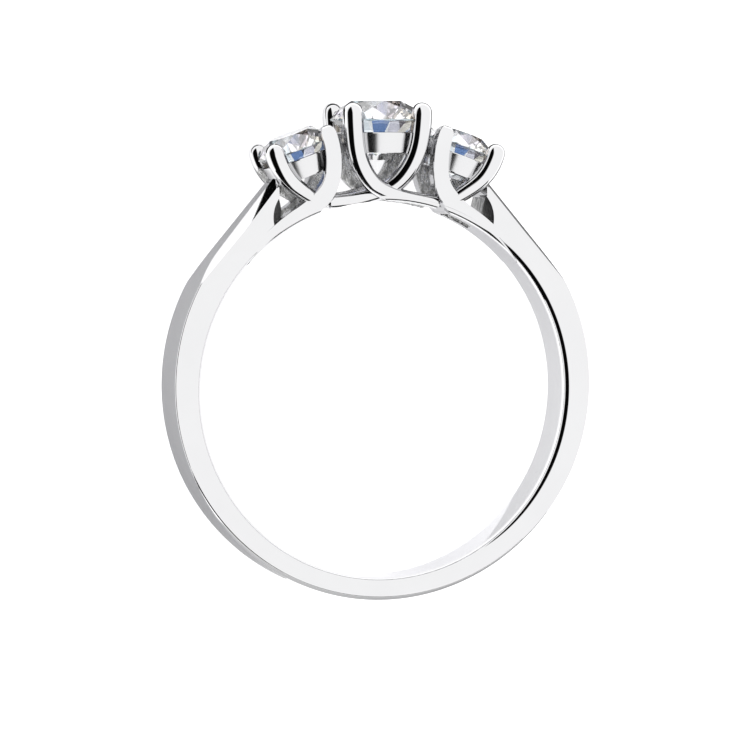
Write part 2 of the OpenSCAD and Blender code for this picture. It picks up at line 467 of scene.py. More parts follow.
@dataclass(frozen=True)
class PolishedWhiteGold:
    """18 carat white gold, rhodium plated and polished.

    The eye gets a near-mirror in a cool white, with the faint haze that a polishing wheel leaves. The sides
    of the strands that no wheel can reach keep their cast skin: dull, greyer and pitted. The walls of the
    collets are brushed to a satin, and the hollows scooped out of the shoulders get a painted shade in darker
    grey.
    """

    name: str = "rhodium_plated_white_gold"
    bright: str = "#E1E1E2"
    haze: str = "#DCDCDD"
    cast: str = "#FBFBFA"
    cast_low: str = "#A6A6A4"
    # The grey of the painted shade on the floors of the shoulders' scoops.
    painted_hollow_shade: str = "#6A6A6A"
    grazing: str = "#C4C4C6"
    haze_mm: float = 1.6
    wheel_mm: float = 0.12
    pit_mm: float = 0.16
    pit_stretch: float = 0.3
    pit_depth: float = 0.9
    pit_bump: float = 0.9
    pit_edge: tuple[float, float] = (0.42, 0.58)
    grain_span: tuple[float, float] = (0.3, 0.7)
    polished_rough: tuple[float, float] = (0.025, 0.05)
    cast_rough: tuple[float, float] = (0.42, 0.26)
    satin_rough: float = 0.2
    mask: str = "cast_skin_and_painted_shade"
    satin: str = "satin"

    def build(self) -> bpy.types.Material:
        """Makes the material.

        Returns:
            The metal, with its polished, cast and satin parts and the painted shade of its hollows.
        """
        tree, shader, coords = start_material(self.name)
        spot = coords.outputs["Object"]
        mask, soft = (
            node(tree, "ShaderNodeAttribute", attribute_name=name, attribute_type="GEOMETRY").outputs["Fac"]
            for name in (self.mask, self.satin)
        )
        drawn = node(tree, "ShaderNodeMapping", {"Vector": spot, "Scale": (1.0, self.pit_stretch, 1.0)})
        cloud, grain, pits = (
            node(
                tree,
                "ShaderNodeTexNoise",
                {"Vector": vector, "Scale": 1 / (size_mm * MM), "Detail": detail, "Roughness": rough},
            ).outputs["Fac"]
            for vector, size_mm, detail, rough in (
                (spot, self.haze_mm, 3.0, 0.5),
                (spot, self.wheel_mm, 4.0, 0.5),
                (drawn.outputs["Vector"], self.pit_mm, 6.0, 0.65),
            )
        )
        steep, deep, sheen, dull = (
            node(
                tree,
                "ShaderNodeMapRange",
                {"Value": value, "From Min": low, "From Max": high, "To Min": start, "To Max": end},
            ).outputs["Result"]
            for value, (low, high), (start, end) in (
                (pits, self.pit_edge, (0.0, 1.0)),
                (mask, (SkinAndShade.AS_CAST.value, SkinAndShade.HOLLOW.value), (0.0, 1.0)),
                (grain, self.grain_span, self.polished_rough),
                (pits, self.grain_span, self.cast_rough),
            )
        )
        colour, cast = (
            node(
                tree, "ShaderNodeMix", {"Factor": share, "A": linear(one), "B": linear(two)}, data_type="RGBA"
            ).outputs["Result"]
            for share, one, two in ((cloud, self.bright, self.haze), (steep, self.cast_low, self.cast))
        )
        # The second step paints the shade of the scoops' hollows, by the share deep.
        for share, other in ((mask, cast), (deep, linear(self.painted_hollow_shade))):
            mixed = node(tree, "ShaderNodeMix", {"Factor": share, "A": colour, "B": other}, data_type="RGBA")
            colour = mixed.outputs["Result"]
        rough = sheen
        for share, other in ((mask, dull), (soft, self.satin_rough)):
            rough = node(tree, "ShaderNodeMix", {"Factor": share, "A": rough, "B": other}).outputs["Result"]
        depth = node(tree, "ShaderNodeMath", {0: mask, 1: pits}, operation="MULTIPLY").outputs["Value"]
        reach = self.pit_mm * MM * self.pit_depth
        bump = node(tree, "ShaderNodeBump", {"Height": depth, "Strength": self.pit_bump, "Distance": reach})
        feed(
            tree,
            shader,
            {
                "Base Color": colour,
                "Roughness": rough,
                "Normal": bump.outputs["Normal"],
                "Metallic": 1.0,
                "Specular Tint": linear(self.grazing),
            },
        )
        return bpy.data.materials[self.name]


@dataclass(frozen=True)
class CutDiamond:
    """Diamond, cut and polished to flat facets.

    The eye gets sharp bright and dark patches, because diamond bends light strongly. Each facet's colour is
    painted light, its fire and its bright and dark reflections, and the stone has a faint painted glow in the
    same colours.
    """

    name: str = "cut_diamond"
    ior: float = 2.417
    painted_light: str = "facet_painted_light"
    painted_glow: float = 0.03

    def build(self) -> bpy.types.Material:
        """Makes the material.

        Returns:
            A clear stone.
        """
        tree, shader, _ = start_material(self.name)
        painted_light = node(tree, "ShaderNodeAttribute", attribute_name=self.painted_light, attribute_type="GEOMETRY")
        # Each facet's painted fire and reflections colour the stone, and it glows faintly with them, though
        # it is no lamp.
        feed(
            tree,
            shader,
            {
                "Base Color": painted_light.outputs["Color"],
                "Emission Color": painted_light.outputs["Color"],
                "Emission Strength": self.painted_glow,
                "IOR": self.ior,
                "Roughness": 0.0,
                "Transmission Weight": 1.0,
            },
        )
        return bpy.data.materials[self.name]


@dataclass(frozen=True)
class MattePaper:
    """Matte white paper on a light table: even, lit a little from below, with a very faint tooth."""

    name: str = "studio_paper"
    colour: str = "#E8E8E8"
    glow: float = 0.62
    tooth_mm: float = 0.4
    tooth_deep_mm: float = 0.02
    tooth_bump: float = 0.02

    def build(self) -> bpy.types.Material:
        """Makes the material.

        Returns:
            The floor's paper.
        """
        tree, shader, coords = start_material(self.name)
        scale = 1 / (self.tooth_mm * MM)
        tooth = node(tree, "ShaderNodeTexNoise", {"Vector": coords.outputs["Object"], "Scale": scale})
        deep = self.tooth_deep_mm * MM
        relief = {"Height": tooth.outputs["Fac"], "Strength": self.tooth_bump, "Distance": deep}
        bump = node(tree, "ShaderNodeBump", relief)
        feed(
            tree,
            shader,
            {
                "Normal": bump.outputs["Normal"],
                "Base Color": linear(self.colour),
                "Roughness": 0.9,
                "Specular IOR Level": 0.1,
                "Emission Color": linear("#FFFFFF"),
                "Emission Strength": self.glow,
            },
        )
        return bpy.data.materials[self.name]


@dataclass(frozen=True)
class MatteCard:
    """Card with a dead matte face, which gives the metal one even tone to reflect; laid under the ring it is
    painted shade, and with a glow painted highlight.
    """

    name: str
    colour: str
    glow: float = 0.0

    def build(self) -> Links:
        """Makes the material.

        Returns:
            Its node tree, shader and coordinates, for a card that needs more.
        """
        links = start_material(self.name)
        tone = linear(self.colour)
        feed(
            links.tree,
            links.shader,
            {
                "Base Color": tone,
                "Roughness": 1.0,
                "Specular IOR Level": 0.0,
                "Emission Color": tone,
                "Emission Strength": self.glow,
            },
        )
        return links


# The metal


@dataclass
class Band:
    """The plain band with its two shoulders, as one open hoop, in millimetres and degrees.

    Each shoulder's top is a straight line from the outer circle to its tip. Below the tip its end wall is a
    curve of points down to the toe, beside the finger hole. A tool's place is that of the right near side.
    The foot cutter's outline starts beside the band's edge, and each slope has its angle and its length.
    """

    plan: RingPlan = PLAN
    arc_steps: int = 300
    tip: tuple[float, float] = (4.74, 9.26)
    wall: tuple[tuple[float, float], ...] = (
        (4.7, 8.85),
        (4.7, 8.45),
        (4.61, 8.1),
        (4.56, 7.8),
        (4.6, 7.5),
        (4.74, 7.22),
    )
    toe: tuple[float, float] = (4.3, 7.42)
    tip_w: float = 2.1
    tip_flat: float = 0.76
    tip_bevel: float = 0.32
    bevel_angle: float = 28.0
    slim_angle: float = 47.0
    block_reach: float = 3.4
    block_w: float = 8.0
    block_t: float = 3.0
    scoop_r: float = 1.5
    scoop_at: tuple[float, float, float] = (3.49, 7.48, 0.9)
    scoop_deep: float = 2.0
    scoop_sides: int = 96
    scoop_round: float = 0.1
    outer_round: float = 0.05
    inner_round: float = 0.36
    foot_chamfer: float = 0.15
    foot_spread: float = 65.0
    foot_start: tuple[float, float] = (-0.156, 0.02)
    foot_slopes: tuple[tuple[float, float], ...] = ((12, 0.12), (24, 0.02), (36, 0.02), (48, 0.02), (60, 1.2))
    foot_tool: tuple[float, float] = (1.0, 0.6)

    def leave_angle(self) -> float:
        """The angle in radians where a shoulder's straight top leaves the outer circle."""
        rise = self.tip[1] - self.plan.outer_rise
        return math.atan2(rise, self.tip[0]) - math.acos(self.plan.outer_r / math.hypot(rise, self.tip[0]))

    def on_outer(self, angle: float, z: float) -> Vector:
        """A point on the outer circle at an angle in radians."""
        r, rise = self.plan.outer_r, self.plan.outer_rise
        return Vector((r * math.cos(angle), rise + r * math.sin(angle), z))

    def build(self) -> bpy.types.Object:
        """Draws the hoop's outline, gives it its width and rounds its edges.

        Returns:
            The hoop, in the ring's own frame.
        """
        plan, z = self.plan, -self.plan.half_w
        leave = self.leave_angle()
        left_leave = math.pi - leave
        tip_r, tip_l = Vector((self.tip[0], self.tip[1], z)), Vector((-self.tip[0], self.tip[1], z))
        hoop = trace("band", [tip_r, self.on_outer(leave, z)])
        turn = math.pi + 2 * leave
        bpy.ops.mesh.spin(steps=self.arc_steps, angle=turn, center=(0, plan.outer_rise, 0), axis=(0, 0, 1))
        toe_angle = math.atan2(math.sqrt(plan.bore_r**2 - self.toe[0] ** 2), self.toe[0])
        inner_l = Vector((-plan.bore_r * math.cos(toe_angle), plan.bore_r * math.sin(toe_angle), z))
        inner_r = Vector((-inner_l.x, inner_l.y, z))
        walls_l = [Vector((-x, y, z)) for x, y in (*self.wall, self.toe)]
        extend([self.on_outer(left_leave, z), tip_l, *walls_l, inner_l])
        turn = math.pi + 2 * toe_angle
        bpy.ops.mesh.spin(steps=self.arc_steps, angle=turn, center=(0, 0, 0), axis=(0, 0, -1))
        walls_r = [Vector((x, y, z)) for x, y in (self.toe, *reversed(self.wall))]
        extend([inner_r, *walls_r, tip_r])
        bpy.ops.mesh.select_all(action="SELECT")
        bpy.ops.mesh.remove_doubles(threshold=MERGE)
        bpy.ops.mesh.edge_face_add()
        bpy.ops.mesh.extrude_region_move(TRANSFORM_OT_translate={"value": (0, 0, 2 * plan.half_w)})
        face_out()
        bpy.ops.mesh.select_mode(type="EDGE")
        for offset, holds in ((self.outer_round, self._outside), (self.inner_round, self._inside)):
            round_edges(hoop, offset, lambda a, b: self._level(a, b) and holds(a) and holds(b))
        bpy.ops.object.mode_set(mode="OBJECT")
        for right in (True, False):
            for near in (True, False):
                for cutter in (*self.shoulder_cutters(right, near), self.scoop(right, near)):
                    combine(hoop, cutter, Cut.REMOVE)
        for near in (True, False):
            combine(hoop, self.foot_cutter(near), Cut.REMOVE)
        return hoop

    def foot_cutter(self, near: bool) -> bpy.types.Object:
        """The round tool, set off the band's middle, that chamfers its outer edge under the foot.

        Args:
            near: Whether it is the edge towards +Z.

        Returns:
            The tool.
        """
        share = math.cos(math.radians(self.foot_spread))
        shift = self.foot_chamfer / (1 - share)
        start = self.foot_start
        point = [self.plan.outer_r + share * shift + start[0], self.plan.half_w + start[1]]
        outline = [tuple(point)]
        for angle, length in self.foot_slopes:
            point[0] += length * math.cos(math.radians(angle))
            point[1] -= length * math.sin(math.radians(angle))
            outline.append(tuple(point))
        reach, top = point[0] + self.foot_tool[0], self.plan.half_w + self.foot_tool[1]
        outline += [(reach, point[1]), (reach, top), (outline[0][0], top)]
        tool = lathe("foot_cutter", [*outline, outline[0]], FINE_TURN)
        spot = Matrix.Translation((0, self.plan.outer_rise + shift, 0))
        return place_mirrored(tool, spot @ to_corner(True, near))

    def _level(self, a: Vector, b: Vector) -> bool:
        """Whether an edge lies in one of the two side faces."""
        return abs(a.z - b.z) < MERGE and abs(abs(a.z) - self.plan.half_w) < MERGE

    def _outside(self, p: Vector) -> bool:
        """Whether a point lies on the outer line: the outer circle, or a shoulder's straight top."""
        tip, leave = Vector((self.tip[0], self.tip[1])), self.leave_angle()
        start = self.on_outer(leave, 0).xy
        q = Vector((abs(p.x), p.y))
        along = (q - start).dot((tip - start).normalized())
        off = abs((q - start).dot(Vector((math.cos(leave), math.sin(leave)))))
        on_line = -NEAR < along < (tip - start).length + NEAR and off < NEAR
        off_circle = abs(math.hypot(p.x, p.y - self.plan.outer_rise) - self.plan.outer_r)
        return on_line or (off_circle < NEAR and p.y < start.y + NEAR)

    def _inside(self, p: Vector) -> bool:
        """Whether a point lies on the finger hole."""
        return abs(math.hypot(p.x, p.y) - self.plan.bore_r) < NEAR

    def shoulder_cutters(self, right: bool, near: bool) -> list[bpy.types.Object]:
        """Blocks that take off a shoulder's bevel and slim its side towards the tip.

        Args:
            right: Whether it is the right shoulder.
            near: Whether it is the side towards +Z.

        Returns:
            The blocks.
        """
        leave, half = self.leave_angle(), self.plan.half_w
        inward = Vector((-math.cos(leave), -math.sin(leave), 0))
        tip = Vector((self.tip[0], self.tip[1], 0))
        start = self.on_outer(math.radians(self.bevel_angle), half)
        slim = self.on_outer(math.radians(self.slim_angle), half)
        up = Vector((0, 0, 1))
        planes = (
            (start, tip + up * self.tip_flat / 2, tip + up * half + inward * self.tip_bevel),
            (slim, tip + up * self.tip_w / 2, slim + inward),
        )
        made = []
        for a, b, c in planes:
            normal = (b - a).cross(c - a).normalized()
            side = (b - a).normalized()
            bpy.ops.mesh.primitive_cube_add(size=1.0)
            block = fresh("shoulder_block")
            size = Matrix.Diagonal((self.block_reach * (b - a).length, self.block_w, self.block_t, 1.0))
            lift = Matrix.Translation((0, 0, self.block_t / 2))
            place(block, frame_at((a + b) / 2, side, normal.cross(side), normal) @ lift @ size)
            made.append(place_mirrored(block, to_corner(right, near)))
        return made

    def scoop(self, right: bool, near: bool) -> bpy.types.Object:
        """The round tool that scoops a crescent out of a shoulder's side, at its end wall.

        Args:
            right: Whether it is the right shoulder.
            near: Whether it is the side towards +Z.

        Returns:
            The tool.
        """
        deep = self.scoop_deep
        bpy.ops.mesh.primitive_cylinder_add(
            vertices=self.scoop_sides, radius=self.scoop_r, depth=deep, location=(0, 0, deep / 2)
        )
        tool = fresh("scoop")
        with editing(tool, Part.EDGES):
            round_edges(tool, self.scoop_round, lambda a, b: max(a.z, b.z) < MERGE, ROUND_STEPS // 2)
        return place_mirrored(tool, to_corner(right, near) @ Matrix.Translation(self.scoop_at))


@dataclass
class Strand:
    """A prong and the curved strand that it runs down into, as one wire."""

    name: str
    stations: tuple[Station, ...]
    both_sides: bool
    squared: bool = False
    plan: RingPlan = PLAN
    round_corners: int = 12
    edge_crease: float = 0.55
    steps: int = 2
    cap_angles: tuple[float, ...] = (78.0, 54.0, 28.0)

    @property
    def corners(self) -> int:
        """The number of corners of each section."""
        return 4 if self.squared else self.round_corners

    def path(self) -> list[Station]:
        """A smooth curve through the stations, with some steps from each to the next."""
        rows = self.stations
        last = len(rows) - 1
        made: list[Station] = []
        for i in range(last):
            a, b, c, d = rows[max(i - 1, 0)], rows[i], rows[i + 1], rows[min(i + 2, last)]
            for k in range(self.steps):
                t = k / self.steps
                made.append(Station(*(self._span(*values, t) for values in zip(a, b, c, d))))
        return [*made, rows[last]]

    @staticmethod
    def _span(a: float, b: float, c: float, d: float, t: float) -> float:
        """One value of a smooth curve between b and c."""
        curve = (2 * a - 5 * b + 4 * c - d) * t * t + (3 * b - a - 3 * c + d) * t**3
        return 0.5 * (2 * b + (c - a) * t + curve)

    def _middle(self, row: Station) -> Vector:
        """A station's middle in the ring's own frame."""
        return Vector((row.x, self.plan.bore_r + row.height, row.z))

    def _ring(self, middle: Vector, along: Vector, row: Station, share: float) -> None:
        """Adds one section in edit mode.

        Args:
            middle: The section's middle.
            along: The way the strand runs.
            row: The station that gives its sizes and turn.
            share: The part of those sizes that it has, under 1 in the round cap.
        """
        side = along.cross(Vector((0, 0, 1))).normalized()
        out = side.cross(along)
        turn = math.radians(row.turn)
        broad = side * math.cos(turn) + out * math.sin(turn)
        thin = along.cross(broad)
        # Smoothing draws a round section in, so it starts larger. A square one has its sides in place.
        swell = math.sqrt(2) if self.squared else 3 / (2 + math.cos(math.tau / self.corners))
        axes = Matrix((broad, thin, along)).transposed()
        roll = Matrix.Rotation(math.pi / 4 if self.squared else 0.0, 3, "Z")
        bpy.ops.mesh.primitive_circle_add(
            vertices=self.corners,
            radius=share * swell,
            fill_type="NOTHING",
            location=middle,
            rotation=(axes @ roll).to_euler(),
        )
        half_sizes = (row.wide, row.deep, 1.0)
        bpy.ops.transform.resize(
            value=half_sizes, orient_matrix=axes, orient_matrix_type="GLOBAL", center_override=middle
        )

    def build(self) -> bpy.types.Object:
        """Sets the sections along the path, bridges them and smooths the wire.

        Returns:
            The wire with its copies on the other faces, in the ring's own frame.
        """
        rows = self.path()
        middles = [self._middle(row) for row in rows]
        up = (middles[0] - middles[1]).normalized()
        bpy.ops.mesh.primitive_plane_add(size=MERGE)
        wire = fresh(self.name)
        bpy.ops.object.mode_set(mode="EDIT")
        bpy.ops.mesh.select_all(action="SELECT")
        bpy.ops.mesh.delete(type="VERT")
        for angle in self.cap_angles:
            a = math.radians(angle)
            self._ring(middles[0] + up * rows[0].deep * math.sin(a), -up, rows[0], math.cos(a))
        for i, row in enumerate(rows):
            along = middles[min(i + 1, len(rows) - 1)] - middles[max(i - 1, 0)]
            self._ring(middles[i], along.normalized(), row, 1.0)
        count = len(rows) + len(self.cap_angles)
        bpy.ops.mesh.select_mode(type="EDGE")
        for i in range(count - 1):
            self._pick_rings(wire, i, i + 1)
            bpy.ops.mesh.bridge_edge_loops()
        for end in (0, count - 1):
            self._pick_rings(wire, end, end)
            bpy.ops.mesh.edge_face_add()
        if self.squared:
            pick_edges(wire, lambda a, b: self._section(a) != self._section(b))
            bpy.ops.transform.edge_crease(value=self.edge_crease)
        face_out()
        bpy.ops.object.mode_set(mode="OBJECT")
        levels = 3 if self.squared else 2
        apply_modifier(wire, "SUBSURF", levels=levels, render_levels=levels)
        apply_modifier(wire, "MIRROR", use_axis=(self.both_sides, False, True), use_mirror_merge=False)
        return wire

    def _section(self, vert: bmesh.types.BMVert) -> int:
        """The number of the section that a vertex belongs to."""
        return vert.index // self.corners

    def _pick_rings(self, wire: bpy.types.Object, first: int, last: int) -> None:
        """Selects the edges of the sections from one number to another.

        Args:
            wire: The object in edit mode.
            first: The first section's number.
            last: The last section's number.
        """
        wanted = range(first, last + 1)
        pick_edges(wire, lambda a, b: self._section(a) == self._section(b) and self._section(a) in wanted)


@dataclass
class Collet:
    """The short tapered ring that a stone sits on, in millimetres in its stone's frame.

    Its own faces are told from the strands' by their place, with a slack that is a share of its height, and
    by how nearly they face out or along, as a cosine.
    """

    name: str
    stand: Matrix
    top_r: float
    foot_r: float
    depth: float
    height: float
    wall: float = 0.36
    lip: float = 0.05
    lip_break: float = 0.3
    steps: int = SEAT_TURN
    slack: float = 0.03
    facing: float = 0.93

    @cached_property
    def back(self) -> Matrix:
        """The matrix from the ring's own frame to the stone's."""
        return self.stand.inverted()

    def build(self) -> bpy.types.Object:
        """Turns the collet's outline and puts it under its stone.

        Returns:
            The collet, in the ring's own frame.
        """
        top, foot, lip = -self.depth, -self.depth - self.height, self.lip
        corner = self.lip_break * lip
        outline = (
            (self.top_r - self.wall, top),
            (self.top_r - lip, top),
            (self.top_r - corner, top - corner),
            (self.top_r, top - lip),
            (self.foot_r, foot + lip),
            (self.foot_r - corner, foot + corner),
            (self.foot_r - lip, foot),
            (self.foot_r - self.wall, foot),
            (self.top_r - self.wall, top),
        )
        return place(lathe(self.name, outline, self.steps), self.stand)

    def holds(self, spot: Vector, way: Vector) -> bool:
        """Whether a spot of the metal lies on this collet.

        Args:
            spot: The spot in the ring's own frame.
            way: The way its surface faces.

        Returns:
            True on the collet's own walls and ends.
        """
        p, n = self.back @ spot, self.back.to_3x3() @ way
        share = (p.z + self.depth + self.height) / self.height
        r, outer = math.hypot(p.x, p.y), self.foot_r + share * (self.top_r - self.foot_r)
        facing_out = abs(n.x * p.x + n.y * p.y) / r > self.facing
        on_side = facing_out and min(abs(r - outer), abs(r - outer + self.wall)) < self.lip
        at_end = abs(n.z) > self.facing and min(abs(share), abs(share - 1)) < self.slack
        on_end = at_end and outer - self.wall < r < outer
        return -self.slack < share < 1 + self.slack and (on_side or on_end)


@dataclass(frozen=True)
class BrilliantCut:
    """The proportions of a round brilliant, as shares of its girdle's radius.

    The gap between the stone and its seat is in millimetres, and the folds are the times its pattern repeats.
    """

    table: float = 0.57
    star: float = 0.79
    crown: float = 0.375
    girdle: float = 0.05
    pavilion: float = 0.76
    reach: float = 0.2
    gap: float = 0.04
    folds: int = 8

    def seat(self, r: float) -> list[tuple[float, float]]:
        """The outline of the room that a stone takes in its metal.

        Args:
            r: The stone's girdle radius.

        Returns:
            Points as (radius, height from the table), from axis to axis.
        """
        gap, low = self.gap, self.crown + self.girdle
        return [
            (0, 3 * gap),
            (self.table * r + gap / 2, gap),
            (r + gap, gap - self.crown * r),
            (r + gap, -gap - low * r),
            (0, -1.5 * gap - (low + self.pavilion) * r),
        ]


CUT = BrilliantCut()


@dataclass(frozen=True)
class CastZone:
    """Where the metal keeps its cast skin and where it gets painted shade, in millimetres in the ring's own
    frame.

    The strands keep it on the sides that face the ring's middle plane, up to a top line that is level over
    the centre stone and falls towards the side stones. The shoulders keep it on their end walls, and the
    leaf-shaped floors of their scoops get painted shade instead. Level, facing and turn are cosines of the
    way a face looks.
    """

    low: float = 7.0
    top: float = 10.9
    side_top: float = 10.5
    fall_from: float = 2.1
    fall: float = 0.36
    fade_up: float = 0.3
    fade_over: float = 0.4
    end: float = 5.3
    bore_gap: float = 0.03
    wall_from: float = 4.1
    wall_top: float = 8.9
    wall_half: float = 0.92
    wall_level: float = 0.8
    leaf_top: float = 8.95
    leaf_low: float = 0.85
    leaf_high: float = 1.02
    leaf_facing: float = 0.5
    plain_half: float = 0.3
    turn_from: float = 0.05
    turn_over: float = 0.3
    strength: float = 0.8

    def top_line(self, across: float) -> float:
        """The height of the top line at a distance from the ring's middle."""
        return self.top if across < self.fall_from else self.side_top - self.fall * (across - self.fall_from)

    def on_leaf(self, p: Vector, n: Vector) -> bool:
        """Whether a spot lies on the floor of a shoulder's scoop, which gets painted shade."""
        deep = self.leaf_low < abs(p.z) < self.leaf_high and abs(n.z) > self.leaf_facing
        return deep and abs(p.x) > self.wall_from and p.y < self.leaf_top

    def on_wall(self, p: Vector, n: Vector) -> bool:
        """Whether a spot lies on a shoulder's end wall."""
        upright = abs(p.z) < self.wall_half and abs(n.y) < self.wall_level
        return upright and abs(p.x) > self.wall_from and p.y < self.wall_top


@dataclass
class RingMetal:
    """All the metal: band, shoulders, prongs, strands, rails, collets and ties, soldered into one."""

    plan: RingPlan = PLAN
    cast: CastZone = CastZone()
    collets: tuple[Collet, ...] = (
        Collet("centre_collet", PLAN.centre_stone(), top_r=1.82, foot_r=1.68, depth=1.36, height=0.90),
        Collet("right_collet", PLAN.side_stone(True), top_r=1.56, foot_r=1.44, depth=1.04, height=0.86),
        Collet("left_collet", PLAN.side_stone(False), top_r=1.56, foot_r=1.44, depth=1.04, height=0.86),
    )
    tie_angle: float = 69.0
    tie_r: float = 0.3
    tie_w: float = 2.0
    tie_sides: int = 48
    stub: tuple[float, float, float] = (0.465, 0.145, 0.275)
    stub_at: tuple[float, float, float] = (0.372, 10.13, -0.895)
    stub_round: float = 0.12
    mouth_round: float = 0.24
    mouth_steps: int = 8
    finger_reach: float = 6.0
    join_merge: float = 0.0005
    smooth_angle: float = 14.0
    normal_weight: int = 80
    over: tuple[Station, ...] = (
        Station(-1.56, 3.86, 1.60, 0.46, 0.44, -15),
        Station(-1.50, 2.90, 1.55, 0.46, 0.44, -15),
        Station(-1.34, 2.05, 1.42, 0.45, 0.42, -12),
        Station(-0.98, 1.28, 1.28, 0.43, 0.39, -8),
        Station(-0.38, 0.64, 1.16, 0.39, 0.36, 0),
        Station(0.50, 0.28, 1.05, 0.35, 0.35, 0),
        Station(1.40, 0.06, 1.02, 0.34, 0.34, 0),
        Station(2.60, -0.06, 1.04, 0.32, 0.33, 0),
    )
    under: tuple[Station, ...] = (
        Station(1.56, 3.86, 1.60, 0.46, 0.44, 5),
        Station(1.50, 2.90, 1.55, 0.46, 0.44, 5),
        Station(1.34, 2.05, 1.40, 0.45, 0.42, 4),
        Station(0.98, 1.28, 1.20, 0.43, 0.39, 2),
        Station(0.38, 0.64, 0.96, 0.39, 0.36, 0),
        Station(-0.50, 0.28, 0.76, 0.35, 0.35, 0),
        Station(-1.40, 0.06, 0.74, 0.34, 0.34, 0),
        Station(-2.60, -0.06, 0.82, 0.32, 0.33, 0),
    )
    inner: tuple[Station, ...] = (
        Station(2.66, 2.95, 1.40, 0.34, 0.36, 0),
        Station(2.48, 2.35, 1.40, 0.34, 0.36, 0),
        Station(2.41, 1.60, 1.38, 0.34, 0.36, 0),
        Station(2.48, 0.85, 1.28, 0.36, 0.36, 0),
        Station(2.80, 0.26, 1.14, 0.40, 0.37, 0),
        Station(3.42, -0.38, 0.98, 0.41, 0.38, 0),
        Station(4.35, -1.00, 0.89, 0.40, 0.38, 0),
        Station(5.45, -1.95, 0.85, 0.38, 0.38, 0),
        Station(6.40, -2.62, 0.70, 0.30, 0.30, 0),
    )
    outer: tuple[Station, ...] = (
        Station(5.00, 2.12, 1.40, 0.43, 0.38, 12),
        Station(4.86, 1.72, 1.40, 0.43, 0.38, 12),
        Station(4.58, 1.22, 1.38, 0.41, 0.37, 9),
        Station(4.15, 0.76, 1.30, 0.38, 0.35, 4),
        Station(3.55, 0.34, 1.18, 0.35, 0.34, 0),
        Station(2.95, -0.02, 1.08, 0.29, 0.30, 0),
    )

    def build(self) -> bpy.types.Object:
        """Joins every metal shape, drills the finger hole and cuts the stones' seats.

        Returns:
            The metal piece, lying in the row's frame.
        """
        metal = Band(self.plan).build()
        LOG.info("band: %d faces", len(metal.data.polygons))
        for name, stations, both_sides, squared in (
            ("over_strands", self.over, False, False),
            ("under_strands", self.under, False, False),
            ("inner_strands", self.inner, True, True),
            ("outer_strands", self.outer, True, False),
        ):
            wire = Strand(name, stations, both_sides, squared, self.plan).build()
            LOG.info("%s: %d faces", name, len(wire.data.polygons))
            combine(metal, wire, Cut.JOIN)
        for solid in (*(collet.build() for collet in self.collets), *self.ties(), self.stub_bar()):
            combine(metal, solid, Cut.JOIN)
        combine(metal, self.finger(), Cut.REMOVE)
        for r, stand in self.plan.stones():
            combine(metal, place(lathe("seat", CUT.seat(r), SEAT_TURN), stand), Cut.REMOVE)
        self._finish_faces(metal)
        self._mark_skin_and_shade(metal)
        metal.name = metal.data.name = "ring_metal"
        return place(metal, self.plan.rest())

    def ties(self) -> list[bpy.types.Object]:
        """The cross tie under each side stone."""
        made = []
        r, angle = self.plan.bore_r + self.tie_r, math.radians(self.tie_angle)
        for sign in (1.0, -1.0):
            bpy.ops.mesh.primitive_cylinder_add(vertices=self.tie_sides, radius=self.tie_r, depth=self.tie_w)
            spot = Matrix.Translation((sign * r * math.cos(angle), r * math.sin(angle), 0))
            made.append(place(fresh("tie"), spot))
        return made

    def stub_bar(self) -> bpy.types.Object:
        """The small flat bar under the centre collet, rounded at its left end."""
        bpy.ops.mesh.primitive_cube_add(size=2.0)
        bar = place(fresh("stub"), Matrix.Diagonal((*self.stub, 1.0)))
        with editing(bar, Part.EDGES):
            round_edges(bar, self.stub_round, lambda a, b: max(a.x, b.x) < 0)
        return place(bar, Matrix.Translation(self.stub_at))

    def finger(self) -> bpy.types.Object:
        """The tool that opens the finger hole, with a rounded mouth on both sides."""
        r, half, flare, reach = self.plan.bore_r, self.plan.half_w, self.mouth_round, self.finger_reach
        angles = [math.radians(90 * k / self.mouth_steps) for k in range(self.mouth_steps + 1)]
        mouth = [(r + flare * (1 - math.cos(a)), half - flare * (1 - math.sin(a))) for a in angles]
        upper = [*mouth, (r + flare, reach), (0.0, reach)]
        return lathe("finger", [(x, -z) for x, z in reversed(upper)] + upper, FINE_TURN)

    def _finish_faces(self, metal: bpy.types.Object) -> None:
        """Merges what the joins left doubled and shades the metal smooth up to its real edges."""
        with editing(metal):
            bpy.ops.mesh.select_all(action="SELECT")
            bpy.ops.mesh.remove_doubles(threshold=self.join_merge)
            bpy.ops.mesh.dissolve_degenerate(threshold=self.join_merge)
            bpy.ops.mesh.normals_make_consistent(inside=False)
        only(metal)
        bpy.ops.object.shade_smooth_by_angle(angle=math.radians(self.smooth_angle))
        apply_modifier(metal, "WEIGHTED_NORMAL", mode="FACE_AREA", weight=self.normal_weight, keep_sharp=True)

    def _mark_skin_and_shade(self, metal: bpy.types.Object) -> None:
        """Writes at each corner of each face how the metal's skin is there, where a hollow gets painted
        shade, and whether it is satin.
        """
        mesh, names = metal.data, (PolishedWhiteGold.mask, PolishedWhiteGold.satin)
        for name in names:
            mesh.attributes.new(name, "FLOAT", "CORNER")
        # A new attribute makes the one before it invalid, so both are looked up after both are made.
        skin, satin = (mesh.attributes[name] for name in names)
        normals = mesh.corner_normals
        for loop in mesh.loops:
            p = mesh.vertices[loop.vertex_index].co
            n = normals[loop.index].vector
            # The skin values include painted shade on the floors of the scoops.
            skin.data[loop.index].value = self._skin_and_shade(p, n)
            satin.data[loop.index].value = 1.0 if self._on_collet(p, n) else 0.0

